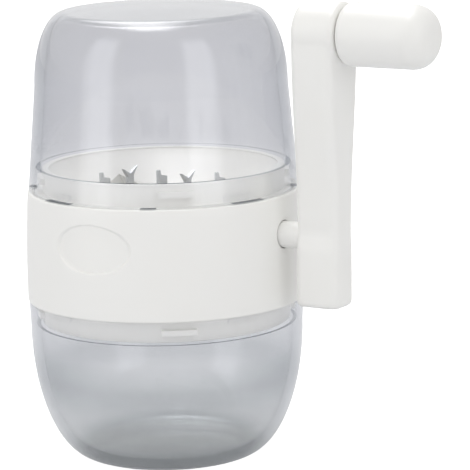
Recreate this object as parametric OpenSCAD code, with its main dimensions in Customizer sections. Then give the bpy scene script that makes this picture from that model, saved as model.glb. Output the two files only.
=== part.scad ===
// Hand cranked nut grinder: clear cup, barrel body with a cutting rotor, clear dome and crank.
// The origin is the centre of the face that the cup stands on. The crank turns about the X axis.

/* [Body] */
// Largest radius of the barrel
body_r = 43.2; // [42.4:0.1:45]
// How much narrower the barrel is at its top edge
body_taper = 0.9; // [0.2:0.1:2]
// Height of the barrel
body_h = 34.4; // [33:0.2:40]
// Height of the widest place above the barrel's lower edge
belly_h = 8; // [4:0.5:16]
// Wall of the barrel
shell_wall = 2.4; // [1.8:0.1:2.8]
// Height of the two inner ledges and of the recesses beside them
ledge_h = 2.2; // [1.6:0.1:3]
// Wall beside the recess for the funnel's flange
rim_wall = 2; // [1.6:0.1:2.4]
// Width of the oval badge place
badge_w = 26.6; // [16:0.2:32]
// Height of the oval badge place
badge_h = 15.2; // [10:0.2:20]
// Depth of the oval badge place
badge_depth = 0.4; // [0.2:0.05:0.8]
// Middle of the oval badge place below the shaft
badge_drop = 0.8; // [0:0.1:3]

/* [Clear cup] */
// Radius of the flat that the cup stands on
base_flat_r = 24; // [18:0.5:28]
// Height of the cup's rounded corner
cup_corner_h = 42; // [36:0.5:48]
// Straight height between the corner and the inner step
cup_step_rise = 0.6; // [0.4:0.1:2]
// Height of the thin skirt above the inner step
cup_skirt_h = 7.4; // [6.4:0.1:9]
// How far the cup's rim stays inside the barrel's largest radius
cup_inset = 0.4; // [0.2:0.1:1]
// How much the cup narrows from its rim down to the corner
cup_draft = 0.3; // [0.1:0.1:1]
// Floor thickness of the cup
cup_floor = 3.5; // [2.5:0.1:5]

/* [Clear dome] */
// How far the dome's rim stays inside the barrel's top edge
cover_inset = 0.3; // [0.1:0.1:1]
// How much the dome narrows from its rim up to the corner
cover_draft = 2.8; // [2:0.1:3.4]
// Height of the dome's thin skirt, up to the inner step
cover_skirt_h = 7.4; // [6.4:0.1:9]
// Height of the dome's straight side, with the skirt
cover_side_h = 32.4; // [28:0.2:44]
// Height of the dome's rounded corner
cover_corner_h = 22.8; // [16:0.1:26]
// Radius of the dome's flat top
cover_flat_r = 29.5; // [20:0.5:30]
// Wall of the dome and cup
clear_wall = 3.2; // [2.6:0.1:3.6]
// Wall of the thin skirts
skirt_wall = 1.8; // [1.4:0.1:2.2]
// Height of the relief cuts in the dome's lower edge
relief_h = 0.5; // [0.3:0.1:0.8]
// Width of one relief cut, in degrees
relief_deg = 11; // [5:1:20]
// Turn from a neck lug back to the first relief cut
relief_turn = 12; // [0:1:44]

/* [Necks and lugs] */
// Gap between a neck and the clear skirt around it
neck_gap = 1.95; // [1.6:0.05:2.3]
// Wall of both necks
neck_wall = 2; // [1.6:0.1:2.4]
// Room between a neck's end and the clear part's inner step
step_clear = 0.6; // [0.3:0.1:1]
// Room between a lug's tip and the wall that it faces
lug_clear = 0.45; // [0.3:0.05:0.6]
// Height of a lug
lug_h = 2; // [1.4:0.1:2.4]
// Width of a lug, in degrees
lug_deg = 16; // [10:1:20]
// Distance of a clear part's lugs from its rim
lug_off = 0.6; // [0.5:0.1:1]
// Play between two lugs that lock
lug_play = 0.2; // [0.1:0.05:0.4]
// Turn between a neck's lugs and the clear part's lugs
release_deg = 30; // [24:1:40]
// Direction of the first neck lug
lug_turn = -53; // [-80:1:-20]

/* [Funnel] */
// Upright height inside the upper neck, above the bowl
bowl_lip_h = 0.5; // [0.4:0.1:3]
// Height of the bowl's lowest edge above the shaft
bowl_low_h = 3.4; // [2:0.1:5]
// Wall of the bowl, measured upright
bowl_wall = 2.5; // [2:0.1:3]
// Wall of the throat
throat_wall = 2.2; // [1.8:0.1:2.6]
// Outer radius of the bearing bosses
boss_r = 8; // [7.4:0.1:8.6]
// Radius of the four screw posts
post_r = 3.2; // [2.8:0.1:3.4]
// Distance of a screw post's middle from the lower neck's inner face
post_inset = 4.35; // [4.1:0.05:6]
// Direction of the screw posts from the crank's axis
post_deg = 60; // [58:1:70]
// Gap between a screw post and the comb screw that it faces
post_gap = 0.55; // [0.3:0.05:1]

/* [Rotor] */
// Depth of the shaft below the barrel's top edge
shaft_drop = 11.8; // [11:0.1:13]
// Gap between the shaft's far end and the barrel's inner face
far_gap = 2.4; // [1:0.1:5]
// Gap between the crank end's bush and the barrel's inner face
near_gap = 8.1; // [7:0.1:12]
// Thickness of a plate
blade_t = 1; // [0.8:0.1:1.6]
// How much shorter the middle toothed plate reaches than the forked plates
mid_short = 0.7; // [0:0.1:4]
// How much shorter the toothed plate at the far end reaches than the forked plates
end_short = 2.9; // [0:0.1:6]
// Width of a plate's arms at the hub
arm_w = 3.2; // [2.6:0.1:6]
// Spread of a fork's two points
fork_spread = 8.2; // [6:0.1:11]
// Depth of the notch between a fork's points
fork_notch = 1.9; // [1.5:0.1:4]
// Length of a fork, from where the arm widens to its reach
fork_len = 3.3; // [2.8:0.1:7]
// Width of a tooth's tip
tip_w = 1; // [0.6:0.1:2]
// Drop from a tooth's tip to its shoulder
tooth_step = 1.6; // [1:0.1:2.4]
// Drop along a tooth's sloping shoulder
shoulder_drop = 0.8; // [0.4:0.1:2]
// Distance of a tooth's shoulder from the plate's middle
shoulder_side = 4.4; // [3.6:0.1:6]
// Outer radius of the spacers
spacer_r = 6.5; // [5.6:0.1:7]
// Length of the two end spacers
end_spacer = 4.5; // [3:0.1:5]
// Distance across the flats of the shaft's hexagon
hex_af = 7; // [6:0.1:7.4]
// Radius of the shaft's bearing at the crank end
near_journal_r = 4.45; // [4.3:0.05:4.6]
// Radius of the shaft's bearing at the far end
far_journal_r = 3.4; // [2.9:0.05:3.4]
// Thickness of the thrust washers
washer_t = 0.8; // [0.5:0.1:1.2]
// How far the thrust washers stand out past the spacers
washer_over = 1; // [0.4:0.1:1.2]
// Thickness of the retaining ring
ring_t = 0.8; // [0.5:0.1:1]
// Outer radius of the retaining ring
ring_r = 5.2; // [4.4:0.1:6]
// Depth of the ring's groove in the shaft
ring_groove = 0.5; // [0.3:0.05:0.7]
// Length of the shaft past the ring
shaft_tail = 1; // [0.6:0.1:1.6]
// Length of the crank end's journal past its bush
journal_tail = 2.5; // [1:0.1:4]
// Play of the rotor at each end
end_play = 0.2; // [0.1:0.05:0.4]
// Gap between the plates' sweep and the throat's side walls
blade_clear = 0.7; // [0.6:0.1:1]
// Gap between the plates' sweep and the trough in the bowl above them
trough_clear = 0.5; // [0.3:0.05:0.55]
// Length of the trough past the plate at the far end
trough_past = 1.6; // [1:0.1:2.4]

/* [Bushes and combs] */
// Length of a bush in its boss
bush_len = 6; // [4:0.1:6.5]
// Outer radius of a bush
bush_r = 6; // [5.6:0.1:6.4]
// Width of a bush's flange past its sleeve
bush_flange = 1.4; // [0.8:0.1:1.6]
// Thickness of a bush's flange
bush_flange_t = 1.2; // [0.8:0.1:1.4]
// Thickness of a comb's teeth along the shaft
tooth_t = 4; // [2:0.1:5]
// Height of a comb's teeth
tooth_h = 6; // [4:0.2:7]
// Gap between a tooth and the spacer that it faces
tooth_gap = 1.1; // [0.6:0.1:2]
// Thickness of a comb's back plate
comb_plate_t = 2.4; // [1.8:0.1:2.8]
// Margin of a comb's back plate around its teeth
comb_margin = 2.4; // [1.8:0.1:3]

/* [Crank] */
// Distance between the shaft and the knob's axis
crank_r = 62.3; // [50:0.1:62.4]
// Inner face of the arm, from the barrel's largest radius
arm_gap = 5.9; // [4:0.1:10]
// How far the inner face leans out, up to the head
arm_lean = 1.6; // [0:0.1:3]
// Thickness of the arm at its lower end
arm_t = 14.7; // [13:0.1:17]
// How far the outer face leans out, up to the head
arm_flare_t = 0.8; // [0:0.1:2.4]
// Width of the arm beside the shaft
arm_bar_w = 10.4; // [10:0.1:13]
// Swell of the hub on each side
hub_swell = 0.4; // [0:0.1:1]
// Length of the hub below the shaft
hub_drop = 20.6; // [12:0.1:22]
// Radius of the rounded lower corners
hub_round = 3; // [1.5:0.1:4]
// Radius of the round head at the arm's upper end
head_r = 9.7; // [9:0.1:10]
// How far the head stands out past the arm
head_out = 0.8; // [0.4:0.1:3]
// Radius of the stub between the arm and the body
stub_r = 4.1; // [3.9:0.05:4.3]
// Gap around the stub in the body's hole
stub_clear = 0.5; // [0.3:0.05:0.8]
// Radius of the shaft's driving end
drive_r = 2.6; // [2.4:0.05:2.7]
// Distance from the axis to the driving end's flat
drive_flat = 1.9; // [1.8:0.05:2.1]
// Depth of the driving end in the arm
drive_in = 8.6; // [7:0.1:9.4]
// Height of the hub's swelling slope
swell_h = 7; // [4:0.5:10]

/* [Knob] */
// Radius of the knob
knob_r = 9.65; // [8:0.05:10.5]
// Length of the knob
knob_len = 29; // [24:0.1:36]
// Rounding at the arm's end
knob_root = 2.6; // [1:0.1:4]
// Length of the rounding at the free end
knob_dome_len = 6.8; // [4:0.1:9]
// Radius of the flat in the middle of the free end
knob_end_r = 3.2; // [1:0.1:4]
// Gap between the knob and the arm's head
knob_gap = 0.3; // [0.2:0.05:0.6]
// Radius of the spindle
spindle_r = 3; // [2.5:0.05:3.4]
// Extra radius of the spindle's tip, which keeps the knob on
tip_over = 0.7; // [0.4:0.05:1]
// Length of the spindle's tip
tip_len = 1.8; // [1.2:0.1:3]
// Length of the knob's narrow bore
knob_bore_len = 18.6; // [14:0.1:20]

/* [Fasteners] */
// Shank radius of the small screws
screw_r = 1.3; // [1.1:0.05:1.4]
// Head radius of the small screws
screw_head_r = 2.4; // [2:0.1:2.8]
// Head height of the small screws
screw_head_h = 1.5; // [1.2:0.1:1.8]
// Depth of the ring screws in their posts
post_bite = 9; // [6:0.5:14]
// Radius of the grub screw that holds the arm on the shaft
grub_r = 2; // [1.4:0.1:2.4]
// Distance across the flats of the grub screw's socket
grub_af = 2; // [1.4:0.1:2.2]
// Depth of the grub screw's socket
grub_socket = 1.6; // [1:0.1:2]
// How far the grub screw lies below the arm's rear face
grub_sink = 0.6; // [0.2:0.1:1.2]
// Head radius of the knob's spindle
spindle_head_r = 5; // [4:0.1:6]
// Head height of the knob's spindle
spindle_head_h = 2.4; // [1.6:0.1:3]
// How far the spindle's head lies below the arm's inner face
spindle_sink = 0.6; // [0.2:0.1:1.2]

/* [Fits] */
// Radial clearance of a running fit
run_clear = 0.05; // [0.02:0.01:0.09]
// Clearance between pieces that are put together and stay still
seat_clear = 0.05; // [0.03:0.01:0.1]
// Clearance of a piece that slides in sideways
slip_clear = 0.25; // [0.15:0.05:0.4]

/* [Hidden] */
$fn = 96;

white = "#f1f1ee";
clear = "#c3cad6";
clear_alpha = 0.4;
steel = "#b4b6b8";
natural = "#e6e4dc";

// Steps of a rounded corner, of the barrel's gentle curve, of a small rounding and of an oval
corner_steps = 14;
curve_steps = 12;
round_steps = 6;
oval_steps = 48;
// Length that a cut runs past the faces it opens, and a size that spans the whole part
past = 1;
span = 200;

// Heights
cup_step_z = cup_corner_h + cup_step_rise;
body_z0 = cup_step_z + cup_skirt_h;
body_z1 = body_z0 + body_h;
belly_z = body_z0 + belly_h;
cover_step_z = body_z1 + cover_skirt_h;
cover_side_z = body_z1 + cover_side_h;
cover_top_z = cover_side_z + cover_corner_h;
lower_neck_z = cup_step_z + step_clear;
upper_neck_z = cover_step_z - step_clear;
shaft_z = body_z1 - shaft_drop;
knob_z = shaft_z + crank_r;

// Radius of the barrel's outer face at a height
function barrel_r(z) = body_r - body_taper * pow((z - belly_z) / (body_z1 - belly_z), 2);
body_top_r = barrel_r(body_z1);

// Radii of the clear parts and necks
cup_rim_r = body_r - cup_inset;
cup_side_r = cup_rim_r - cup_draft;
cup_skirt_r = cup_side_r - skirt_wall;
cover_rim_r = body_top_r - cover_inset;
cover_side_r = cover_rim_r - cover_draft;
cover_step_r = cover_rim_r - cover_draft * cover_skirt_h / cover_side_h;
cover_skirt_r = cover_step_r - skirt_wall;
upper_neck_r = cover_skirt_r - neck_gap;
lower_neck_r = cup_skirt_r - neck_gap;
lug_reach = neck_gap - lug_clear;

// Lower faces of the lugs: a neck's lugs lock past those of the clear part around it
cover_lug_z = body_z1 + lug_off;
upper_lug_z = cover_lug_z + lug_h + lug_play;
cup_lug_z = body_z0 - lug_off - lug_h;
lower_lug_z = cup_lug_z - lug_play - lug_h;

// Stations along the shaft: from the barrel's far side inwards, then from its crank side inwards
rotor_room = barrel_r(shaft_z) - shell_wall;
shaft_x0 = far_gap - rotor_room;
ring_x = shaft_x0 + shaft_tail + ring_t;
far_bush_x = ring_x + end_play + bush_flange_t;
throat_x0 = far_bush_x + bush_len;
stack_x0 = throat_x0 + end_play + washer_t;
near_bush_x = rotor_room - near_gap - bush_flange_t;
journal_x1 = near_bush_x + bush_flange_t + journal_tail;
throat_x1 = near_bush_x - bush_len;
stack_x1 = throat_x1 - end_play - washer_t;

// The plates share the room between the two ends of the stack
blade_count = 5;
blade_pitch = (stack_x1 - stack_x0 - 2 * end_spacer - blade_t) / (blade_count - 1);
function blade_x(i) = stack_x0 + end_spacer + blade_t / 2 + i * blade_pitch;
// Start of the comb tooth between plate i and the next one
function tooth_x(i) = blade_x(i) + blade_pitch / 2 - tooth_t / 2;

// Posts, throat, combs and bowl, from the necks inwards
upper_neck_in = upper_neck_r - neck_wall;
lower_neck_in = lower_neck_r - neck_wall;
post_x = (lower_neck_in - post_inset) * cos(post_deg);
post_y = (lower_neck_in - post_inset) * sin(post_deg);
throat_out_y = post_y - post_r - post_gap - screw_head_h - comb_plate_t;
throat_y = throat_out_y - throat_wall;
fork_r = throat_y - blade_clear;
comb_x0 = tooth_x(0);
comb_x1 = tooth_x(blade_count - 2) + tooth_t;
comb_ear = 2 * screw_head_r + comb_margin;
bowl_low_z = shaft_z + bowl_low_h;
bowl_top_z = upper_neck_z - bowl_lip_h;
comb_top_z = bowl_low_z - bowl_wall - slip_clear;
tooth_z = comb_top_z - comb_margin - tooth_h / 2;
tooth_tip_y = spacer_r + tooth_gap;
bowl_low_r = throat_y;

// Crank
arm_x0 = body_r + arm_gap;
head_x0 = arm_x0 + arm_lean;
hub_z0 = shaft_z - hub_drop;
stub_x0 = journal_x1 + slip_clear;
drive_x1 = arm_x0 + drive_in;
grub_x = arm_x0 + drive_in / 2;
function arm_x1(z) = arm_x0 + arm_t + arm_flare_t * (z - hub_z0) / (knob_z - hub_z0);
head_x1 = arm_x1(knob_z) + head_out;
// The flare ends this far inside the head, so that the two faces cross
flare_inset = 0.3;
spindle_pocket_x = head_x0 + spindle_head_h + spindle_sink;
knob_x0 = head_x1 + knob_gap;
tip_x0 = knob_x0 + knob_bore_len + end_play;

// Points of a rounded corner, from the side at radius flat + w, height z, to the flat at height z + h
function corner(flat, w, z, h) =
    [for (i = [0 : corner_steps]) let (a = 90 * i / corner_steps) [flat + w * cos(a), z + h * sin(a)]];

function reversed(points) = [for (i = [len(points) - 1 : -1 : 0]) points[i]];

// Points of the barrel's side from one height to another, moved inwards by a wall
function barrel_side(z0, z1, wall) =
    [for (i = [0 : curve_steps]) let (z = z0 + (z1 - z0) * i / curve_steps) [barrel_r(z) - wall, z]];

// A solid of rotation about the shaft's axis, or another axis along X at height z
module along_x(x0, x1, r, z = shaft_z) {
    translate([x0, 0, z])
        rotate([0, 90, 0])
            cylinder(h = x1 - x0, r = r);
}

// A hexagonal bar along the shaft, with its flats af apart
module hex_x(x0, x1, af) {
    translate([x0, 0, shaft_z])
        rotate([0, 90, 0])
            cylinder(h = x1 - x0, r = af / 2 / cos(30), $fn = 6);
}

// The shaft's driving end, round with a flat at the rear, or the bore for it with a clearance
module drive_x(x0, x1, clear_by) {
    intersection() {
        along_x(x0, x1, drive_r + clear_by);
        translate([x0 - past, -span / 2, shaft_z - span / 2])
            cube([span, span / 2 + drive_flat + clear_by, span]);
    }
}

// Four lugs on a ring between two radii, upwards from a height
module lugs(r0, r1, z, turn) {
    for (k = [0 : 3])
        rotate([0, 0, lug_turn + turn + 90 * k - lug_deg / 2])
            rotate_extrude(angle = lug_deg)
                translate([r0, z])
                    square([r1 - r0, lug_h]);
}

// A screw along -Z with its head's seat at the origin and a cross recess in its head
module cross_screw(r, head_r, head_h, length) {
    // The cross is a third of the head's radius wide and runs over two thirds of its diameter
    slot_w = head_r / 3;
    slot_l = 2 * head_r * 2 / 3;
    difference() {
        union() {
            cylinder(h = head_h, r = head_r);
            translate([0, 0, -length])
                cylinder(h = length + head_h / 2, r = r);
        }
        for (turn = [0, 90])
            rotate([0, 0, turn])
                translate([-slot_l / 2, -slot_w / 2, head_h / 2])
                    cube([slot_l, slot_w, head_h]);
    }
}

// Places of the four screw posts
module at_posts() {
    for (sx = [-1, 1], sy = [-1, 1])
        translate([sx * post_x, sy * post_y, 0])
            children();
}

// Places of the two screws of one comb, on the throat wall's outer face
module at_comb_screws() {
    for (x = [comb_x0 - comb_ear / 2, comb_x1 + comb_ear / 2])
        translate([x, throat_out_y, tooth_z])
            rotate([-90, 0, 0])
                children();
}

// Both sides of the throat, the rear one first
module both_sides() {
    children();
    mirror([0, 1, 0])
        children();
}

module collector_cup() {
    corner_w = cup_side_r - base_flat_r;
    inner_w = corner_w - clear_wall;
    inner_h = cup_corner_h - cup_floor;
    outer = [for (p = corner(base_flat_r, corner_w, 0, cup_corner_h)) [p[0], cup_corner_h - p[1]]];
    inner = [for (p = corner(base_flat_r, inner_w, 0, inner_h)) [p[0], cup_corner_h - p[1]]];
    color(clear, clear_alpha) {
        rotate_extrude()
            polygon(concat(
                [[0, 0]],
                reversed(outer),
                [[cup_rim_r, body_z0], [cup_skirt_r, body_z0], [cup_skirt_r, cup_step_z]],
                [[base_flat_r + inner_w, cup_step_z]],
                inner,
                [[0, cup_floor]]
            ));
        lugs(cup_skirt_r - lug_reach, cup_skirt_r + skirt_wall / 2, cup_lug_z, release_deg);
    }
}

module body_shell() {
    top_recess_r = body_top_r - rim_wall;
    top_ledge_r = upper_neck_r + slip_clear;
    low_recess_r = barrel_r(body_z0) - shell_wall;
    low_ledge_r = low_recess_r - ledge_h;
    inner_z0 = body_z0 + 2 * ledge_h;
    inner_z1 = body_z1 - 2 * ledge_h;
    color(white)
        difference() {
            rotate_extrude()
                polygon(concat(
                    barrel_side(body_z0, body_z1, 0),
                    [[top_recess_r, body_z1], [top_recess_r, body_z1 - ledge_h]],
                    [[top_ledge_r, body_z1 - ledge_h], [top_ledge_r, inner_z1]],
                    reversed(barrel_side(inner_z0, inner_z1, shell_wall)),
                    [[low_ledge_r, inner_z0], [low_ledge_r, body_z0 + ledge_h]],
                    [[low_recess_r, body_z0 + ledge_h], [low_recess_r, body_z0]]
                ));
            along_x(0, body_r + past, stub_r + stub_clear);
            badge_cut();
        }
}

// The badge place: an oval prism outside a barrel that is smaller by the badge's depth
module badge_cut() {
    badge_z = shaft_z - badge_drop;
    difference() {
        translate([0, 0, badge_z])
            rotate([90, 0, 0])
                linear_extrude(body_r + past)
                    polygon([
                        for (i = [0 : oval_steps - 1])
                            let (a = 360 * i / oval_steps)
                            [badge_w / 2 * cos(a), badge_h / 2 * sin(a)]
                    ]);
        rotate_extrude()
            polygon(concat([[0, body_z0]], barrel_side(body_z0, body_z1, badge_depth), [[0, body_z1]]));
    }
}

module hopper_funnel() {
    flange_r = body_top_r - rim_wall - slip_clear;
    flange_z = body_z1 - ledge_h;
    color(white)
        difference() {
            union() {
                rotate_extrude()
                    polygon([
                        [upper_neck_in, upper_neck_z],
                        [upper_neck_r, upper_neck_z],
                        [upper_neck_r, body_z1],
                        [flange_r, body_z1],
                        [flange_r, flange_z],
                        [upper_neck_r, flange_z],
                        [upper_neck_r, flange_z - ledge_h],
                        [bowl_low_r, bowl_low_z - bowl_wall],
                        [bowl_low_r, bowl_low_z],
                        [upper_neck_in, bowl_top_z]
                    ]);
                lugs(upper_neck_r - neck_wall / 2, upper_neck_r + lug_reach, upper_lug_z, 0);
                intersection() {
                    funnel_underside();
                    under_bowl();
                }
            }
            // The throat up to the shaft, the trough over the plates and the room for the spacers
            translate([throat_x0, -throat_y, body_z0])
                cube([throat_x1 - throat_x0, 2 * throat_y, shaft_z - body_z0]);
            along_x(blade_x(0) - blade_t / 2 - trough_past, throat_x1, fork_r + trough_clear);
            along_x(throat_x0, throat_x1, spacer_r + washer_over + slip_clear);
            along_x(far_bush_x - past, near_bush_x + past, bush_r + seat_clear);
            along_x(-upper_neck_r - past, far_bush_x, bush_r + bush_flange + slip_clear);
            along_x(near_bush_x, upper_neck_r + past, bush_r + bush_flange + slip_clear);
            at_posts()
                translate([0, 0, body_z0])
                    cylinder(h = ledge_h + post_bite, r = screw_r + seat_clear);
            both_sides() {
                comb_slots();
                at_comb_screws()
                    translate([0, 0, -throat_wall - past])
                        cylinder(h = throat_wall + 2 * past, r = screw_r + seat_clear);
            }
        }
}

// Throat walls, bearing bosses and screw posts, before they are cut off below the bowl's face
module funnel_underside() {
    floor_z = body_z0 + ledge_h;
    translate([throat_x0 - throat_wall, -throat_out_y, floor_z])
        cube([throat_x1 - throat_x0 + 2 * throat_wall, 2 * throat_out_y, upper_neck_z - floor_z]);
    along_x(far_bush_x, near_bush_x, boss_r);
    at_posts()
        translate([0, 0, floor_z])
            cylinder(h = upper_neck_z - floor_z, r = post_r);
}

// Everything below the middle of the bowl's wall
module under_bowl() {
    rotate_extrude()
        polygon([
            [0, body_z0],
            [upper_neck_r - neck_wall / 2, body_z0],
            [upper_neck_r - neck_wall / 2, bowl_top_z - bowl_wall / 2],
            [bowl_low_r, bowl_low_z - bowl_wall / 2],
            [0, bowl_low_z - bowl_wall / 2]
        ]);
}

// Slots in the rear throat wall for the comb's teeth
module comb_slots() {
    for (i = [0 : blade_count - 2])
        translate([tooth_x(i) - slip_clear, throat_y - past, tooth_z - tooth_h / 2 - slip_clear])
            cube([tooth_t + 2 * slip_clear, throat_wall + 2 * past, tooth_h + 2 * slip_clear]);
}

module outlet_ring() {
    floor_r = barrel_r(body_z0) - shell_wall - slip_clear;
    color(white)
        difference() {
            union() {
                translate([0, 0, body_z0])
                    cylinder(h = ledge_h, r = floor_r);
                rotate_extrude()
                    translate([lower_neck_in, lower_neck_z])
                        square([neck_wall, body_z0 + ledge_h / 2 - lower_neck_z]);
                lugs(lower_neck_r - neck_wall / 2, lower_neck_r + lug_reach, lower_lug_z, 0);
            }
            translate([throat_x0, -throat_y, lower_neck_z])
                cube([throat_x1 - throat_x0, 2 * throat_y, span]);
            at_posts()
                translate([0, 0, lower_neck_z])
                    cylinder(h = span, r = screw_r + seat_clear);
        }
}

module hopper_cover() {
    corner_w = cover_side_r - cover_flat_r;
    inner_w = corner_w - clear_wall;
    inner_h = cover_corner_h - clear_wall;
    color(clear, clear_alpha)
        difference() {
            union() {
                rotate_extrude()
                    polygon(concat(
                        [[cover_skirt_r, body_z1], [cover_rim_r, body_z1]],
                        corner(cover_flat_r, corner_w, cover_side_z, cover_corner_h),
                        [[0, cover_top_z], [0, cover_top_z - clear_wall]],
                        reversed(corner(cover_flat_r, inner_w, cover_side_z, inner_h)),
                        [[cover_step_r - clear_wall, cover_step_z], [cover_skirt_r, cover_step_z]]
                    ));
                lugs(cover_skirt_r - lug_reach, cover_skirt_r + skirt_wall / 2, cover_lug_z, release_deg);
            }
            for (k = [0 : 7])
                rotate([0, 0, lug_turn - relief_turn + 45 * k - relief_deg / 2])
                    rotate_extrude(angle = relief_deg)
                        translate([cover_skirt_r - lug_reach - past, body_z1 - past])
                            square([span, past + relief_h]);
        }
}

// A flanged bush from the throat's end wall outwards, for a journal of the given radius
module bush(x0, length, flange_x, journal_r) {
    color(natural)
        difference() {
            union() {
                along_x(x0, x0 + length, bush_r);
                along_x(flange_x, flange_x + bush_flange_t, bush_r + bush_flange);
            }
            along_x(-span, span, journal_r + run_clear);
        }
}

module near_bush() {
    bush(throat_x1, bush_len + bush_flange_t / 2, near_bush_x, near_journal_r);
}

module far_bush() {
    flange_x = far_bush_x - bush_flange_t;
    bush(flange_x, bush_len + bush_flange_t, flange_x, far_journal_r);
}

// The rear comb: a plate on the throat wall's outer face, with teeth that reach in to the spacers
module comb() {
    plate_x0 = comb_x0 - comb_ear;
    plate_x1 = comb_x1 + comb_ear;
    plate_h = tooth_h + 2 * comb_margin;
    color(natural)
        difference() {
            union() {
                translate([plate_x0, throat_out_y, tooth_z - plate_h / 2])
                    cube([plate_x1 - plate_x0, comb_plate_t, plate_h]);
                for (i = [0 : blade_count - 2])
                    translate([tooth_x(i), tooth_tip_y, tooth_z - tooth_h / 2])
                        cube([tooth_t, throat_out_y + comb_plate_t / 2 - tooth_tip_y, tooth_h]);
            }
            at_comb_screws()
                translate([0, 0, -past])
                    cylinder(h = comb_plate_t + 2 * past, r = screw_r + seat_clear);
        }
}

module rear_comb() {
    comb();
}

module front_comb() {
    mirror([0, 1, 0])
        comb();
}

module comb_screws() {
    color(steel)
        both_sides()
            at_comb_screws()
                translate([0, 0, comb_plate_t])
                    cross_screw(
                        screw_r, screw_head_r, screw_head_h, comb_plate_t + throat_wall - slip_clear
                    );
}

module ring_screws() {
    color(steel)
        at_posts()
            translate([0, 0, body_z0])
                rotate([180, 0, 0])
                    cross_screw(screw_r, screw_head_r, screw_head_h, ledge_h + post_bite - slip_clear);
}

module rotor_shaft() {
    groove_x0 = ring_x - ring_t - end_play / 2;
    groove_x1 = ring_x + end_play / 2;
    color(steel) {
        along_x(shaft_x0, groove_x0, far_journal_r);
        along_x(shaft_x0, stack_x1, far_journal_r - ring_groove);
        along_x(groove_x1, stack_x1, far_journal_r);
        hex_x(stack_x0 - washer_t, near_bush_x, hex_af);
        along_x(stack_x1 + washer_t, journal_x1, near_journal_r);
        drive_x(journal_x1 - past, drive_x1, 0);
    }
}

// One arm of a forked plate, pointing up
module fork_arm() {
    tip_x = fork_spread / 2;
    tip_y = sqrt(fork_r * fork_r - tip_x * tip_x);
    root_y = fork_r - fork_len;
    polygon([
        [-arm_w / 2, 0], [arm_w / 2, 0], [arm_w / 2, root_y], [tip_x, tip_y],
        [0, tip_y - fork_notch], [-tip_x, tip_y], [-arm_w / 2, root_y]
    ]);
}

// One arm of a toothed plate, pointing up: upright on one edge, with a sloping shoulder on the other
module tooth_arm(reach) {
    edge_x = tip_w / 2;
    tip_y = sqrt(reach * reach - edge_x * edge_x);
    step_y = tip_y - tooth_step;
    polygon([
        [-edge_x, 0], [arm_w, 0], [shoulder_side, step_y - shoulder_side],
        [shoulder_side, step_y - shoulder_drop], [tip_w, step_y], [edge_x, tip_y], [-edge_x, tip_y]
    ]);
}

// A cutting plate on the shaft, with four arms of the child's outline
module plate(i) {
    color(steel)
        translate([blade_x(i) - blade_t / 2, 0, shaft_z])
            rotate([90, 0, 90])
                linear_extrude(blade_t)
                    difference() {
                        union() {
                            circle(r = spacer_r);
                            for (turn = [0 : 90 : 270])
                                rotate(turn)
                                    children();
                        }
                        rotate(30)
                            circle(r = (hex_af / 2 + seat_clear) / cos(30), $fn = 6);
                    }
}

module blade_1() {
    plate(0)
        tooth_arm(fork_r - end_short);
}

module blade_2() {
    plate(1)
        fork_arm();
}

module blade_3() {
    plate(2)
        tooth_arm(fork_r - mid_short);
}

module blade_4() {
    plate(3)
        fork_arm();
}

module blade_5() {
    plate(4)
        tooth_arm(fork_r);
}

// A sleeve on the shaft's hexagon: number 0 and the last one are the end spacers
module spacer(i) {
    x0 = i == 0 ? stack_x0 : blade_x(i - 1) + blade_t / 2;
    x1 = i == blade_count ? stack_x1 : blade_x(i) - blade_t / 2;
    color(natural)
        difference() {
            along_x(x0, x1, spacer_r);
            hex_x(x0 - past, x1 + past, hex_af + 2 * seat_clear);
        }
}

// A thrust washer on the shaft's hexagon
module washer(x0) {
    color(natural)
        difference() {
            along_x(x0, x0 + washer_t, spacer_r + washer_over);
            hex_x(x0 - past, x0 + washer_t + past, hex_af + 2 * seat_clear);
        }
}

module far_washer() {
    washer(stack_x0 - washer_t);
}

module near_washer() {
    washer(stack_x1);
}

module retaining_ring() {
    bore_r = far_journal_r - ring_groove + seat_clear;
    // The ring's open side is three quarters of its bore
    mouth_w = 2 * bore_r * 3 / 4;
    color(steel)
        difference() {
            along_x(ring_x - ring_t, ring_x, ring_r);
            along_x(ring_x - ring_t - past, ring_x + past, bore_r);
            translate([ring_x - ring_t - past, -mouth_w / 2, shaft_z])
                cube([ring_t + 2 * past, mouth_w, ring_r + past]);
        }
}

// Half width of the arm at a height: the swelling hub, the straight bar and the flare to the head
function arm_half(z) =
    let (bar = arm_bar_w / 2)
    z < shaft_z
        ? bar + hub_swell * (1 - cos(180 * min(1, (shaft_z - z) / swell_h))) / 2
        : bar + (head_r - flare_inset - bar) * (1 - cos(180 * (z - shaft_z) / crank_r)) / 2;

// A small rounding of radius r, from the flat end at height z0 out to the edge at x, on side 1 or -1
function rounding(x, side, z0, r) =
    [for (i = [0 : round_steps])
        let (a = 90 * i / round_steps)
        [x - side * r * (1 - sin(a)), z0 + r * (1 - cos(a))]];

module arm_front_outline() {
    zs = concat(
        [for (i = [0 : curve_steps]) shaft_z - swell_h + swell_h * i / curve_steps],
        [for (i = [1 : curve_steps]) shaft_z + crank_r * i / curve_steps]
    );
    right = [for (z = zs) [arm_half(z), z]];
    left = [for (z = zs) [-arm_half(z), z]];
    polygon(concat(
        rounding(arm_half(hub_z0), 1, hub_z0, hub_round),
        right,
        reversed(left),
        reversed(rounding(-arm_half(hub_z0), -1, hub_z0, hub_round))
    ));
}

module arm_side_outline() {
    polygon(concat(
        rounding(arm_x1(hub_z0), 1, hub_z0, hub_round),
        [[arm_x1(knob_z), knob_z], [head_x0, knob_z]],
        reversed(rounding(arm_x0, -1, hub_z0, hub_round))
    ));
}

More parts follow.
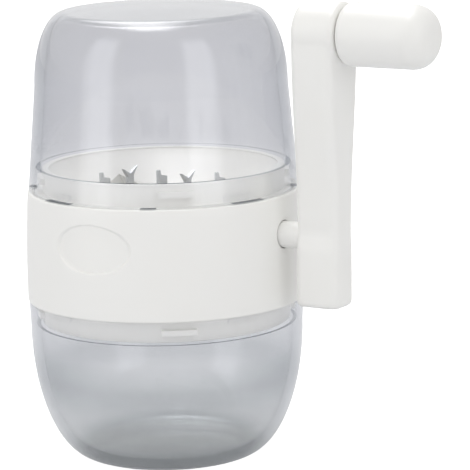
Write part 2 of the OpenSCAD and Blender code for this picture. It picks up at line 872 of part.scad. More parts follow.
module crank_arm() {
    color(white)
        difference() {
            union() {
                intersection() {
                    translate([arm_x0 - past, 0, 0])
                        rotate([90, 0, 90])
                            linear_extrude(span / 2)
                                arm_front_outline();
                    translate([0, span / 2, 0])
                        rotate([90, 0, 0])
                            linear_extrude(span)
                                arm_side_outline();
                }
                along_x(head_x0, head_x1, head_r, knob_z);
                along_x(stub_x0, arm_x0 + past, stub_r);
            }
            drive_x(stub_x0 - past, drive_x1 + slip_clear, seat_clear);
            translate([grub_x, 0, shaft_z])
                rotate([-90, 0, 0])
                    cylinder(h = arm_bar_w, r = grub_r + seat_clear);
            along_x(head_x0 - past, head_x1 + past, spindle_r + seat_clear, knob_z);
            along_x(head_x0 - past, spindle_pocket_x, spindle_head_r + slip_clear, knob_z);
        }
}

module grub_screw() {
    outer_y = arm_half(shaft_z) - grub_sink;
    color(steel)
        translate([grub_x, 0, shaft_z])
            rotate([-90, 0, 0])
                difference() {
                    translate([0, 0, drive_flat + seat_clear])
                        cylinder(h = outer_y - drive_flat - seat_clear, r = grub_r);
                    translate([0, 0, outer_y - grub_socket])
                        cylinder(h = grub_socket + past, r = grub_af / 2 / cos(30), $fn = 6);
                }
}

module knob_spindle() {
    head_x0 = spindle_pocket_x - spindle_head_h;
    // The driving slot across the head is an eighth of the head wide
    slot_w = 2 * spindle_head_r / 8;
    color(steel)
        difference() {
            union() {
                along_x(head_x0, spindle_pocket_x, spindle_head_r, knob_z);
                along_x(head_x0, tip_x0 + tip_len, spindle_r, knob_z);
                along_x(tip_x0, tip_x0 + tip_len, spindle_r + tip_over, knob_z);
            }
            translate([head_x0 - past, -spindle_head_r - past, knob_z - slot_w / 2])
                cube([past + spindle_head_h / 2, 2 * spindle_head_r + 2 * past, slot_w]);
        }
}

module knob() {
    bore_end = knob_x0 + knob_bore_len;
    // The room behind the bore holds the spindle's tip, with play before and behind it
    room_end = tip_x0 + tip_len + 2 * end_play;
    dome_x = knob_len - knob_dome_len;
    color(white)
        difference() {
            translate([knob_x0, 0, knob_z])
                rotate([0, 90, 0])
                    rotate_extrude()
                        polygon(concat(
                            [[0, 0]],
                            rounding(knob_r, 1, 0, knob_root),
                            corner(knob_end_r, knob_r - knob_end_r, dome_x, knob_dome_len),
                            [[0, knob_len]]
                        ));
            along_x(knob_x0 - past, bore_end + past / 2, spindle_r + run_clear, knob_z);
            along_x(bore_end, room_end, spindle_r + tip_over + slip_clear, knob_z);
        }
}

collector_cup();
body_shell();
hopper_funnel();
outlet_ring();
hopper_cover();
near_bush();
far_bush();
front_comb();
rear_comb();
comb_screws();
ring_screws();
rotor_shaft();
blade_1();
blade_2();
blade_3();
blade_4();
blade_5();
spacer(0);  // spacer_1
spacer(1);  // spacer_2
spacer(2);  // spacer_3
spacer(3);  // spacer_4
spacer(4);  // spacer_5
spacer(5);  // spacer_6
near_washer();
far_washer();
retaining_ring();
crank_arm();
grub_screw();
knob_spindle();
knob();
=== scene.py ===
from math import atan, ceil, cos, hypot, pi, radians, sin, sqrt, tan

import bmesh
import bpy
from mathutils import Matrix, Vector


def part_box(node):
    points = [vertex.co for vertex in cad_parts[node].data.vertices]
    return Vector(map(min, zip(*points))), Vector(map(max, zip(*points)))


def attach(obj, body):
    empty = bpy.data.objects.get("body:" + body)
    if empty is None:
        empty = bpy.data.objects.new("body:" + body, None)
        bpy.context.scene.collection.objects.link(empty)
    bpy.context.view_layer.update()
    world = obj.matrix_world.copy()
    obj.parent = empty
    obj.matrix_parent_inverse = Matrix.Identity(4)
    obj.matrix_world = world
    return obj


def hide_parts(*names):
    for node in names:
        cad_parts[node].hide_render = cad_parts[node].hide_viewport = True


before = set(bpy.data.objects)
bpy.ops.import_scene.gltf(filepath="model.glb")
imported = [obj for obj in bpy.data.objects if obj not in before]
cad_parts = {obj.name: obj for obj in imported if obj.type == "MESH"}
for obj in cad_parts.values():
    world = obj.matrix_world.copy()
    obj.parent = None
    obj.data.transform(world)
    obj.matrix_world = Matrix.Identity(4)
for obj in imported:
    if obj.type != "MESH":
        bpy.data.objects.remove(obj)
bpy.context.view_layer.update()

scene = bpy.context.scene


# Collecting cup.
# One clear moulding in styrene acrylonitrile: a heavy rounded base that catches the ground nuts,
# and a thinner skirt above an inner step, with four lugs that lock on the white lower neck.

MM = 0.001


def linear(hex_colour):
    """Linear RGBA of an sRGB hex colour."""
    shares = [int(hex_colour[i:i + 2], 16) / 255 for i in (1, 3, 5)]
    return [s / 12.92 if s <= 0.04045 else ((s + 0.055) / 1.055) ** 2.4 for s in shares] + [1]


def put(tree, kind, inputs=None, **settings):
    """Adds a shader node. inputs gives sockets, by name or number, a value or another node's output."""
    node = tree.nodes.new("ShaderNode" + kind)
    for name, value in settings.items():
        setattr(node, name, value)
    for socket, value in (inputs or {}).items():
        if isinstance(value, bpy.types.NodeSocket):
            tree.links.new(value, node.inputs[socket])
        else:
            node.inputs[socket].default_value = value
    return node


def blank_material(name):
    material = bpy.data.materials.new(name)
    material.use_nodes = True
    material.node_tree.nodes.clear()
    return material


straight_ior = 1.001


def clear_san(name, casts, density):
    """Clear styrene acrylonitrile from a polished tool: glossy and nearly colourless, with a grey cast by
    height from casts, pairs of a height in mm and a colour; the cup's darker casts are painted shade.
    Faint flow waves make reflections swim, wiping has dulled it here and there, and lamps shine through.
    Sight runs straight through the thin wall, and the gloss is a coat with the plastic's own IOR."""
    flow_mm = 14
    wipe_mm = 3
    low, high = casts[0][0], casts[-1][0]
    material = blank_material(name)
    tree = material.node_tree
    place = put(tree, "TexCoord").outputs["Object"]
    height = put(tree, "SeparateXYZ", {0: place}).outputs["Z"]
    up = put(tree, "MapRange", {"Value": height, "From Min": low * MM, "From Max": high * MM})
    tint_and_painted_shade = put(tree, "ValToRGB", {0: up.outputs[0]})
    stops = tint_and_painted_shade.color_ramp.elements
    for mm, _ in casts[1:-1]:
        stops.new((mm - low) / (high - low))
    for stop, (_, colour_hex) in zip(stops, casts):
        stop.color = linear(colour_hex)
    waves = put(tree, "TexNoise", {"Vector": place, "Scale": 1 / (flow_mm * MM), "Detail": 1.0})
    bump = put(tree, "Bump", {"Height": waves.outputs[0], "Strength": 0.04, "Distance": 0.2 * MM})
    wiped = put(tree, "TexNoise", {"Vector": place, "Scale": 1 / (wipe_mm * MM), "Detail": 4.0})
    shine = put(tree, "MapRange", {"Value": wiped.outputs[0], "To Min": 0.0, "To Max": 0.06})
    plastic = put(tree, "BsdfPrincipled", {
        "Base Color": tint_and_painted_shade.outputs[0], "Roughness": shine.outputs[0], "IOR": straight_ior,
        "Transmission Weight": 1.0, "Coat Weight": 1.0, "Coat IOR": 1.57, "Coat Roughness": 0.03,
        "Normal": bump.outputs[0], "Coat Normal": bump.outputs[0]})
    path = put(tree, "LightPath")
    lit = put(tree, "Math", {0: path.outputs["Is Shadow Ray"], 1: path.outputs["Is Diffuse Ray"]},
              operation="MAXIMUM")
    through = put(tree, "BsdfTransparent")
    both = put(tree, "MixShader", {0: lit.outputs[0], 1: plastic.outputs[0], 2: through.outputs[0]})
    cast = put(tree, "VolumeAbsorption", {"Color": linear("#c9cdd2"), "Density": density})
    put(tree, "OutputMaterial", {"Surface": both.outputs[0], "Volume": cast.outputs[0]})
    return material


def painted_shade_line(name, dark_hex, light_hex):
    """Painted shade on a narrow level face of the same plastic: a dark tint, a little uneven along its
    length, stands in for the fine dark line that light running off sideways in the wall behind gives."""
    uneven_mm = 6
    material = blank_material(name)
    tree = material.node_tree
    place = put(tree, "TexCoord").outputs["Object"]
    uneven = put(tree, "TexNoise", {"Vector": place, "Scale": 1 / (uneven_mm * MM), "Detail": 2.0})
    tint_and_painted_shade = put(tree, "Mix", {0: uneven.outputs[0], 6: linear(dark_hex), 7: linear(light_hex)},
               data_type="RGBA")
    plastic = put(tree, "BsdfPrincipled", {
        "Base Color": tint_and_painted_shade.outputs[2], "Roughness": 0.2, "IOR": straight_ior, "Transmission Weight": 1.0})
    put(tree, "OutputMaterial", {"Surface": plastic.outputs[0]})
    return material


def rounded(corners, steps=5):
    """Points of an outline in mm whose corners (x, y, radius) are rounded by that radius."""
    points = []
    count = len(corners)
    for i, (x, y, radius) in enumerate(corners):
        here = Vector((x, y))
        before = Vector(corners[i - 1][:2]) - here
        after = Vector(corners[(i + 1) % count][:2]) - here
        if not radius:
            points.append((x, y))
            continue
        half = before.angle(after) / 2
        run = min(radius / tan(half), before.length / 2, after.length / 2)
        radius = run * tan(half)
        before.normalize()
        after.normalize()
        middle = here + (before + after).normalized() * radius / sin(half)
        start = here + before * run - middle
        sweep = start.angle_signed(here + after * run - middle)
        for k in range(steps + 1):
            spoke = Matrix.Rotation(-sweep * k / steps, 2) @ start
            points.append(tuple(middle + spoke))
    return points


def close_set(points, pitch):
    """The same outline with points added so that none is further than pitch from the next."""
    filled = []
    for (x0, y0), (x1, y1) in zip(points, points[1:]):
        parts = ceil(hypot(x1 - x0, y1 - y0) / pitch)
        filled += [(x0 + (x1 - x0) * k / parts, y0 + (y1 - y0) * k / parts) for k in range(parts)]
    return filled + [points[-1]]


def oval_corner(flat, width, base, height, steps=24):
    """Points of a quarter oval from (flat + width, base) to (flat, base + height)."""
    turns = [pi / 2 * k / steps for k in range(steps + 1)]
    return [(flat + width * cos(t), base + height * sin(t)) for t in turns]


def new_piece(name, bm, sharp_deg=38):
    """Turns a bmesh in mm into a smooth shaded piece in metres, with edges sharper than sharp_deg kept."""
    bmesh.ops.scale(bm, vec=(MM, MM, MM), verts=bm.verts)
    bmesh.ops.recalc_face_normals(bm, faces=bm.faces)
    mesh = bpy.data.meshes.new(name)
    bm.to_mesh(mesh)
    bm.free()
    mesh.shade_smooth()
    mesh.set_sharp_from_angle(angle=radians(sharp_deg))
    piece = bpy.data.objects.new(name, mesh)
    scene.collection.objects.link(piece)
    return piece


def lathe(outline, turns):
    """A bmesh of an outline of (radius, height) turned about Z, with a column at each of turns. An
    outline that starts and ends on the axis is closed there, any other one runs back to its start."""
    bm = bmesh.new()
    rows = []
    for radius, height in outline:
        if radius < 1e-6:
            rows.append([bm.verts.new((0, 0, height))] * len(turns))
        else:
            rows.append([bm.verts.new((radius * cos(t), radius * sin(t), height)) for t in turns])
    on_axis = outline[0][0] < 1e-6
    for i in range(len(rows) - 1 if on_axis else len(rows)):
        low, high = rows[i], rows[(i + 1) % len(rows)]
        for c in range(len(turns)):
            d = (c + 1) % len(turns)
            ring = list(dict.fromkeys((low[c], low[d], high[d], high[c])))
            bm.faces.new(ring)
    return bm


def even_turns(count):
    return [2 * pi * k / count for k in range(count)]


def lug_blocks(inner, outer, low, height, first_deg, width_deg=16, soft=0.7, steps=12):
    """A bmesh of four lugs between two radii, a quarter turn apart, with softened edges."""
    bm = bmesh.new()
    corners = ((inner, low), (outer, low), (outer, low + height), (inner, low + height))
    for k in range(4):
        rows = []
        for s in range(steps + 1):
            t = radians(first_deg + 90 * k + width_deg * (s / steps - 0.5))
            rows.append([bm.verts.new((r * cos(t), r * sin(t), z)) for r, z in corners])
        for a, b in zip(rows, rows[1:]):
            for c in range(4):
                bm.faces.new((a[c], a[c - 1], b[c - 1], b[c]))
        bm.faces.new(rows[0])
        bm.faces.new(rows[-1][::-1])
    bmesh.ops.recalc_face_normals(bm, faces=bm.faces)
    sharp = [e for e in bm.edges if e.calc_face_angle() > radians(60)]
    bmesh.ops.bevel(bm, geom=sharp, offset=soft, segments=4, affect="EDGES", profile=0.5)
    return bm


def combine(piece, tool, operation):
    """Joins a tool piece to a piece, or cuts it out, and deletes the tool."""
    change = piece.modifiers.new("combine", "BOOLEAN")
    change.object = tool
    change.operation = operation
    change.solver = "EXACT"
    graph = bpy.context.evaluated_depsgraph_get()
    made = bpy.data.meshes.new_from_object(piece.evaluated_get(graph))
    piece.modifiers.clear()
    piece.data = made
    bpy.data.objects.remove(tool)
    made.shade_smooth()
    made.set_sharp_from_angle(angle=radians(38))


def finish_piece(piece, material, body, node):
    """Gives a piece its material and says what it rides on and stands for."""
    piece.data.materials.clear()
    piece.data.materials.append(material)
    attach(piece, body)
    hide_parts(node)


def line_faces(piece, material, height):
    """Gives the level faces of a piece that lie at a height in mm another material."""
    near = 0.1
    nearly_level = 0.9
    piece.data.materials.append(material)
    for face in piece.data.polygons:
        at_height = height - near < face.center.z / MM < height + near
        if at_height and abs(face.normal.z) > nearly_level:
            face.material_index = len(piece.data.materials) - 1


cup_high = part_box("collector_cup")[1]
cup_rim_r = cup_high.x / MM
cup_rim_z = cup_high.z / MM
base_flat_r = 24
cup_corner_h = 42
cup_flare = 0.3
cup_side_r = cup_rim_r - cup_flare
cup_floor = 3.5
clear_wall = 3.2
skirt_wall = 1.8
skirt_h = 7.4
rim_round = 0.5
step_edge_round = 0.15
step_root_round = 0.2
cup_step_z = cup_rim_z - skirt_h
cup_skirt_r = cup_side_r - skirt_wall
cup_outer = oval_corner(base_flat_r, cup_side_r - base_flat_r, 0, cup_corner_h)
cup_inner = oval_corner(base_flat_r, cup_side_r - base_flat_r - clear_wall, 0, cup_corner_h - cup_floor)
cup_rim = rounded([
    (cup_side_r, cup_corner_h, 0), (cup_rim_r, cup_rim_z, rim_round), (cup_skirt_r, cup_rim_z, rim_round),
    (cup_skirt_r, cup_step_z, step_edge_round), (cup_side_r - clear_wall, cup_step_z, step_root_round),
    (cup_side_r - clear_wall, cup_corner_h, 0)])
cup_outline = [(0, 0)] + [(r, cup_corner_h - h) for r, h in reversed(cup_outer)][:-1] + cup_rim
cup_outline += [(r, cup_corner_h - h) for r, h in cup_inner][1:] + [(0, cup_floor)]

lug_reach = 1.5
lug_h = 2
lug_inset = 0.6
neck_lug_deg = -53
release_deg = 30  # the clear lugs stand clear of the neck's lugs by this much
clear_lug_deg = neck_lug_deg + release_deg
cup_lug_z = cup_rim_z - lug_inset - lug_h
clear_pitch = 1
clear_columns = 192
cup = new_piece("cup_clear", lathe(close_set(cup_outline, clear_pitch), even_turns(clear_columns)))
combine(cup, new_piece("cup_lugs", lug_blocks(
    cup_skirt_r - lug_reach, cup_skirt_r + skirt_wall / 2, cup_lug_z, lug_h, clear_lug_deg)), "UNION")
# Painted shade: these casts go near black at the cup's foot for its contact shadow, and darker in a band
# partway up where refraction shows the plastic darker.
cup_painted_shade = [(0, "#5c6062"), (3, "#d9dcdd"), (6, "#f6f7f7"), (12, "#f8f9f9"), (16, "#f0f1f2"),
             (20, "#e6e8e9"), (23, "#dcdee0"), (27, "#d9dbdd"), (31, "#e8eaeb"), (36, "#fafafb")]
cup_density = 24
finish_piece(cup, clear_san("clear_san_cup", cup_painted_shade, cup_density), "cup", "collector_cup")
step_painted_shade = painted_shade_line("clear_san_painted_shade_line", "#464b52", "#8b9096")
# The cup's inner step face gets painted shade, a dark tinted line.
line_faces(cup, step_painted_shade, cup_step_z)


# Outlet ring and hopper funnel.
# The two white inner mouldings: a ring with the lower neck, and a bowl that leads the nuts down to
# the rotor, with the upper neck, the throat and the bearing bosses under it. ABS, satin finish.

def moulded_abs(name, colour_hex, roughness):
    """White ABS from a fine spark eroded tool: a soft satin sheen, hardly visible grain and a faint
    warm and cool drift in the colour where the melt flowed. The grain is drawn coarser than the real
    one, so that it shows."""
    grain_mm = 0.35
    drift_mm = 22
    material = blank_material(name)
    tree = material.node_tree
    place = put(tree, "TexCoord").outputs["Object"]
    drift = put(tree, "TexNoise", {"Vector": place, "Scale": 1 / (drift_mm * MM), "Detail": 2.0})
    warm = [c * f for c, f in zip(linear(colour_hex), (1.0, 0.992, 0.972, 1))]
    colour = put(tree, "Mix", {0: drift.outputs[0], 6: linear(colour_hex), 7: warm}, data_type="RGBA")
    grain = put(tree, "TexNoise", {"Vector": place, "Scale": 1 / (grain_mm * MM), "Detail": 3.0})
    shine = put(tree, "MapRange", {
        "Value": grain.outputs[0], "To Min": roughness - 0.04, "To Max": roughness + 0.04})
    bump = put(tree, "Bump", {"Height": grain.outputs[0], "Strength": 0.06, "Distance": 0.05 * MM})
    plastic = put(tree, "BsdfPrincipled", {
        "Base Color": colour.outputs[2], "Roughness": shine.outputs[0], "IOR": 1.53,
        "Normal": bump.outputs[0]})
    put(tree, "OutputMaterial", {"Surface": plastic.outputs[0]})
    return material


def dress(node, material, soft):
    """A construction node that keeps its own mesh: its edges are softened and it gets a material."""
    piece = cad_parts[node]
    piece.data.materials.clear()
    piece.data.materials.append(material)
    weld_gap = 0.002
    weld = piece.modifiers.new("weld", "WELD")
    weld.merge_threshold = weld_gap * MM
    bevel = piece.modifiers.new("soft edges", "BEVEL")
    bevel.width = soft * MM
    bevel.segments = 2
    bevel.limit_method = "ANGLE"
    bevel.angle_limit = radians(40)
    bevel.harden_normals = True


white_abs = moulded_abs("moulded_abs_white", "#f0f0ee", 0.36)
neck_soft = 0.25
dress("outlet_ring", white_abs, neck_soft)
dress("hopper_funnel", white_abs, neck_soft)


# Barrel body.
# The white outer shell: a barrel that swells towards its lower edge, moulded in ABS, clamped
# between funnel and outlet ring. It has a bare oval badge place in front and the crank's hole.

shell_low, shell_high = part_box("body_shell")
facet_room = 0.02  # keeps the facets' corners inside the construction's box
body_r = shell_high.x / MM - facet_room
shell_z0 = shell_low.z / MM
shell_z1 = shell_high.z / MM
belly_h = 8
belly_z = shell_z0 + belly_h
body_taper = 0.9
shaft_low, shaft_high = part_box("rotor_shaft")
shaft_z = (shaft_low.z + shaft_high.z) / 2 / MM
badge_w = 26.6
badge_h = 15.2
badge_drop = 0.8
badge_z = shaft_z - badge_drop
badge_depth = 0.7
badge_edge = 0.5


def barrel_r(z):
    return body_r - body_taper * ((z - belly_z) / (shell_z1 - belly_z)) ** 2


def between(start, end, pitch):
    """Evenly spaced values from start up to end, at most pitch apart, without end."""
    count = ceil((end - start) / pitch)
    return [start + (end - start) * k / count for k in range(count)]


shell_soft = 0.7
lip_soft = 0.3
shell_wall = 2.4
upper_lip = 2
upper_ledge_r = 38.1
lower_ledge_r = 38.5
ledge_t = 2.2
ledge_end = 2 * ledge_t
badge_half_deg = 20
badge_middle_deg = -90
badge_z0 = badge_z - badge_h / 2 - 1
badge_z1 = badge_z + badge_h / 2 + 1
fine_deg = 0.3
wide_deg = 2
fine_pitch = 0.3
wide_pitch = 1.5
fine_turns = between(badge_middle_deg - badge_half_deg, badge_middle_deg + badge_half_deg, fine_deg)
wide_turns = between(badge_middle_deg + badge_half_deg, badge_middle_deg + 360 - badge_half_deg, wide_deg)
shell_turns = [radians(t) for t in fine_turns + wide_turns]
side_zs = between(shell_z0 + wide_pitch, badge_z0, wide_pitch)
side_zs += between(badge_z0, badge_z1, fine_pitch)
side_zs += between(badge_z1, shell_z1 - wide_pitch, wide_pitch)
upper_r = barrel_r(shell_z1)
lower_r = barrel_r(shell_z0)
upper_ledge_z = shell_z1 - ledge_end
lower_ledge_z = shell_z0 + ledge_end
shell_corners = [(lower_r, shell_z0, shell_soft)]
shell_corners += [(barrel_r(z), z, 0) for z in side_zs]
shell_corners += [
    (upper_r, shell_z1, shell_soft), (upper_r - upper_lip, shell_z1, lip_soft),
    (upper_r - upper_lip, shell_z1 - ledge_t, 0), (upper_ledge_r, shell_z1 - ledge_t, 0),
    (upper_ledge_r, upper_ledge_z, 0), (barrel_r(upper_ledge_z) - shell_wall, upper_ledge_z, 0),
    (barrel_r(belly_z) - shell_wall, belly_z, 0),
    (barrel_r(lower_ledge_z) - shell_wall, lower_ledge_z, 0), (lower_ledge_r, lower_ledge_z, 0),
    (lower_ledge_r, shell_z0 + ledge_t, 0), (lower_r - shell_wall, shell_z0 + ledge_t, 0),
    (lower_r - shell_wall, shell_z0, lip_soft)]
shell_mesh = lathe(rounded(shell_corners), shell_turns)
skin = 0.1
for v in shell_mesh.verts:
    x, y, z = v.co
    if y < 0 and hypot(x, y) > barrel_r(z) - skin:
        inside = 1 - hypot(2 * x / badge_w, 2 * (z - badge_z) / badge_h)
        sink = min(max(inside * badge_h / 2 / badge_edge, 0), 1)
        v.co -= Vector((x, y, 0)).normalized() * badge_depth * sink * sink * (3 - 2 * sink)
shell = new_piece("barrel_shell", shell_mesh)

hole_r = 4.4
hole_x0 = 30
hole_x1 = body_r + 2
mouth_depth = 0.3
mouth_flare = 1
mouth_soft = 0.6
hole_mouth = rounded([
    (0, hole_x0, 0), (hole_r, hole_x0, 0), (hole_r, body_r - mouth_depth, mouth_soft),
    (hole_r + mouth_flare, hole_x1, 0), (0, hole_x1, 0)])
hole = new_piece("crank_hole", lathe(hole_mouth, even_turns(64)))
hole.matrix_world = Matrix.Translation((0, 0, shaft_z * MM)) @ Matrix.Rotation(pi / 2, 4, "Y")
bpy.context.view_layer.update()
combine(shell, hole, "DIFFERENCE")
finish_piece(shell, white_abs, "head", "body_shell")


# Bushes, combs and fasteners inside the head.
# Flanged acetal bushes carry the shaft, acetal combs stand between the plates, and small cross
# recessed steel screws hold the combs and clamp the head together.

def natural_acetal(name):
    """Acetal in its natural colour: waxy, milky white, with a soft broad sheen."""
    cloud_mm = 4
    material = blank_material(name)
    tree = material.node_tree
    place = put(tree, "TexCoord").outputs["Object"]
    cloud = put(tree, "TexNoise", {"Vector": place, "Scale": 1 / (cloud_mm * MM), "Detail": 3.0})
    colour = put(tree, "Mix", {0: cloud.outputs[0], 6: linear("#e9e7e0"), 7: linear("#dedbd1")},
                 data_type="RGBA")
    bump = put(tree, "Bump", {"Height": cloud.outputs[0], "Strength": 0.05, "Distance": 0.1 * MM})
    plastic = put(tree, "BsdfPrincipled", {
        "Base Color": colour.outputs[2], "Roughness": 0.42, "IOR": 1.48, "Normal": bump.outputs[0]})
    put(tree, "OutputMaterial", {"Surface": plastic.outputs[0]})
    return material


def stainless_steel(name, colour_hex, roughness):
    """Stamped and tumbled stainless steel: a grey metal with fine random scratches, which are drawn
    coarser than the real ones, so that they show."""
    scratch_mm = 0.25
    material = blank_material(name)
    tree = material.node_tree
    place = put(tree, "TexCoord").outputs["Object"]
    drawn = put(tree, "Mapping", {"Vector": place, "Scale": (1.0, 1.0, 0.12)})
    lines = put(tree, "TexNoise", {
        "Vector": drawn.outputs[0], "Scale": 1 / (scratch_mm * MM), "Detail": 3.0})
    shine = put(tree, "MapRange", {
        "Value": lines.outputs[0], "To Min": roughness - 0.08, "To Max": roughness + 0.08})
    bump = put(tree, "Bump", {"Height": lines.outputs[0], "Strength": 0.12, "Distance": 0.03 * MM})
    metal = put(tree, "BsdfPrincipled", {
        "Base Color": linear(colour_hex), "Metallic": 1.0, "Roughness": shine.outputs[0],
        "Normal": bump.outputs[0]})
    put(tree, "OutputMaterial", {"Surface": metal.outputs[0]})
    return material


acetal = natural_acetal("moulded_acetal_natural")
fastener_steel = stainless_steel("stainless_steel_fasteners", "#c4c6c8", 0.3)
acetal_soft = 0.2
screw_soft = 0.12
for inner_node in ("near_bush", "far_bush", "front_comb", "rear_comb"):
    dress(inner_node, acetal, acetal_soft)
for screw_node in ("comb_screws", "ring_screws"):
    dress(screw_node, fastener_steel, screw_soft)


# Cutting rotor.
# A turned steel shaft with a hexagon in the middle carries five stamped plates, forked and toothed,
# kept apart by acetal sleeves between two thrust washers, and a spring clip on the far end.

plate_steel = stainless_steel("stainless_steel_plates", "#bcbec0", 0.5)
plate_count = 5
plate_soft = 0.12
turned_soft = 0.15
clip_soft = 0.1
dress("rotor_shaft", fastener_steel, turned_soft)
dress("retaining_ring", fastener_steel, clip_soft)
for number in range(1, plate_count + 1):
    dress(f"blade_{number}", plate_steel, plate_soft)
for number in range(1, plate_count + 2):
    dress(f"spacer_{number}", acetal, acetal_soft)
for washer_node in ("near_washer", "far_washer"):
    dress(washer_node, acetal, turned_soft)


# Clear dome.
# The hopper's cover, the same clear plastic as the cup: a high dome with a heavy rounded shoulder and
# a thinner skirt that slips over the upper neck, with small relief cuts in its lower edge.

cover_low, cover_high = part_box("hopper_cover")
cover_z0 = cover_low.z / MM
cover_rim_r = cover_high.x / MM
cover_top_z = cover_high.z / MM
cover_taper = 2.8
cover_side_r = cover_rim_r - cover_taper
cover_flat_r = 29.5
cover_corner_h = 22.8
top_wall = 1.8
cover_side_z = cover_top_z - cover_corner_h
cover_step_z = cover_z0 + skirt_h
cover_step_r = cover_rim_r - cover_taper * skirt_h / (cover_side_z - cover_z0)
cover_skirt_r = cover_step_r - skirt_wall
dome_inner = oval_corner(
    cover_flat_r, cover_side_r - cover_flat_r - clear_wall, cover_side_z, cover_corner_h - top_wall)
dome_outer = oval_corner(cover_flat_r, cover_side_r - cover_flat_r, cover_side_z, cover_corner_h)
dome_skirt = rounded([
    (dome_inner[0][0], dome_inner[0][1], 0), (cover_step_r - clear_wall, cover_step_z, step_root_round),
    (cover_skirt_r, cover_step_z, step_edge_round), (cover_skirt_r, cover_z0, rim_round),
    (cover_rim_r, cover_z0, rim_round), (dome_outer[0][0], dome_outer[0][1], 0)])
dome_outline = [(0, cover_top_z - top_wall)] + dome_inner[::-1][:-1] + dome_skirt
dome_outline += dome_outer[1:] + [(0, cover_top_z)]

cover = new_piece("dome_clear", lathe(close_set(dome_outline, clear_pitch), even_turns(clear_columns)))
combine(cover, new_piece("dome_lugs", lug_blocks(
    cover_skirt_r - lug_reach, cover_skirt_r + skirt_wall / 2, cover_z0 + lug_inset, lug_h,
    clear_lug_deg)), "UNION")
relief_h = 0.3
relief_soft = 0.2
relief_past = 1.5
relief_r0 = cover_skirt_r - 3
relief_r1 = cover_rim_r + 1
relief_first_deg = neck_lug_deg - 12
# Four short cuts, and four long ones midway between them.
for turn_deg, width_deg in ((0, 7), (45, 17)):
    combine(cover, new_piece("relief_cuts", lug_blocks(
        relief_r0, relief_r1, cover_z0 - relief_past, relief_past + relief_h,
        relief_first_deg + turn_deg, width_deg, relief_soft)), "DIFFERENCE")
cover_casts = [(cover_z0 + 6, "#fcfcfd"), (cover_z0 + 11, "#f5f5f7"), (cover_z0 + 18, "#f3f3f5")]
cover_density = 30
cover_plastic = clear_san("clear_san_dome", cover_casts, cover_density)
finish_piece(cover, cover_plastic, "cover", "hopper_cover")
# The ceilings of the relief cuts get the same painted shade, a dark line for the shaded gap at the rim.
line_faces(cover, step_painted_shade, cover_z0 + relief_h)
pale_painted_shade = painted_shade_line("clear_san_pale_painted_shade_line", "#b0b5ba", "#cccfd3")
# The dome's inner step face gets a paler painted shade line.
line_faces(cover, pale_painted_shade, cover_step_z)


# Crank arm.
# A solid looking white ABS arm with a round head at the top and a stub that goes into the body. Every
# edge is generously rounded, and a headless screw in its rear face clamps it on the shaft's flat.

arm_low, arm_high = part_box("crank_arm")
head_r = arm_high.y / MM
head_x1 = arm_high.x / MM
knob_z = arm_high.z / MM - head_r
hub_drop = 0.6
hub_z0 = arm_low.z / MM - hub_drop
stub_x0 = arm_low.x / MM
stub_r = 4.1
arm_x0 = 49.1
arm_t = 14.7
arm_lean = 1.6
arm_flare_t = 0.8
arm_bar_w = 10.4
head_step = 0.3
hub_swell = 0.4
swell_h = 4
arm_inner_round = 2
arm_outer_round = 2.4
hub_round = 1.6
valley_depth = 0.3
valley_z = shaft_z + 2
valley_z0 = valley_z - 2.4
valley_z1 = valley_z + 5


def rise(z, z0, z1):
    """Smooth rise from 0 at z0 to 1 at z1."""
    share = min(max((z - z0) / (z1 - z0), 0), 1)
    return (1 - cos(pi * share)) / 2


def arm_section(z):
    """Outline of the arm at a height, drawn in near its rounded lower end, with a shallow hollow across
    its front face above the shaft."""
    up = (z - hub_z0) / (knob_z - hub_z0)
    half = arm_bar_w / 2 + (head_r - head_step - arm_bar_w / 2) * rise(z, shaft_z, knob_z)
    half += hub_swell * (1 - rise(z, shaft_z - swell_h, shaft_z))
    dip = valley_depth * rise(z, valley_z0, valley_z) * (1 - rise(z, valley_z, valley_z1))
    inset = hub_round - sqrt(hub_round ** 2 - max(hub_round - (z - hub_z0), 0) ** 2)
    x0 = arm_x0 + arm_lean * up + inset
    x1 = arm_x0 + arm_t + arm_flare_t * up - inset
    half -= inset
    return rounded([
        (x0, dip - half, arm_inner_round), (x1, dip - half, arm_outer_round),
        (x1, half, arm_outer_round), (x0, half, arm_inner_round)], steps=8)


def loft(sections):
    """A closed bmesh through outlines of (x, y) with the same count of points, each at its height."""
    bm = bmesh.new()
    rows = [[bm.verts.new((x, y, z)) for x, y in outline] for z, outline in sections]
    for low, high in zip(rows, rows[1:]):
        for c in range(len(low)):
            bm.faces.new((low[c - 1], low[c], high[c], high[c - 1]))
    bm.faces.new(rows[0][::-1])
    bm.faces.new(rows[-1])
    return bm


def turned(name, outline, place, axis):
    """A turned piece, from an outline of (radius, distance), on an axis through a place in mm."""
    piece = new_piece(name, lathe(outline, even_turns(96)))
    spin = Vector((0, 0, 1)).rotation_difference(Vector(axis)).to_matrix().to_4x4()
    piece.data.transform(Matrix.Translation(Vector(place) * MM) @ spin)
    return piece


end_rows = 6
arm_zs = [hub_z0 + hub_round * (1 - cos(pi / 2 * k / end_rows)) for k in range(end_rows)]
arm_zs += between(hub_z0 + hub_round, knob_z, wide_pitch) + [knob_z]
arm = new_piece("crank_arm_moulding", loft([(z, arm_section(z)) for z in arm_zs]))
head_x0 = arm_x0 + arm_lean
head_inner_round = 2.2
head_outer_round = 1.8
head_bar = rounded([
    (0, head_x0, 0), (head_r, head_x0, head_inner_round), (head_r, head_x1, head_outer_round),
    (0, head_x1, 0)])
along_x = (1, 0, 0)
combine(arm, turned("arm_head", head_bar, (0, 0, knob_z), along_x), "UNION")
voxel_mm = 0.4
voxel = arm.modifiers.new("voxel", "REMESH")
voxel.mode = "VOXEL"
voxel.voxel_size = voxel_mm * MM
relax = arm.modifiers.new("relax", "SMOOTH")
relax.factor = 0.5
relax.iterations = 7
arm_graph = bpy.context.evaluated_depsgraph_get()
arm_soft = bpy.data.meshes.new_from_object(arm.evaluated_get(arm_graph))
arm.modifiers.clear()
arm.data = arm_soft

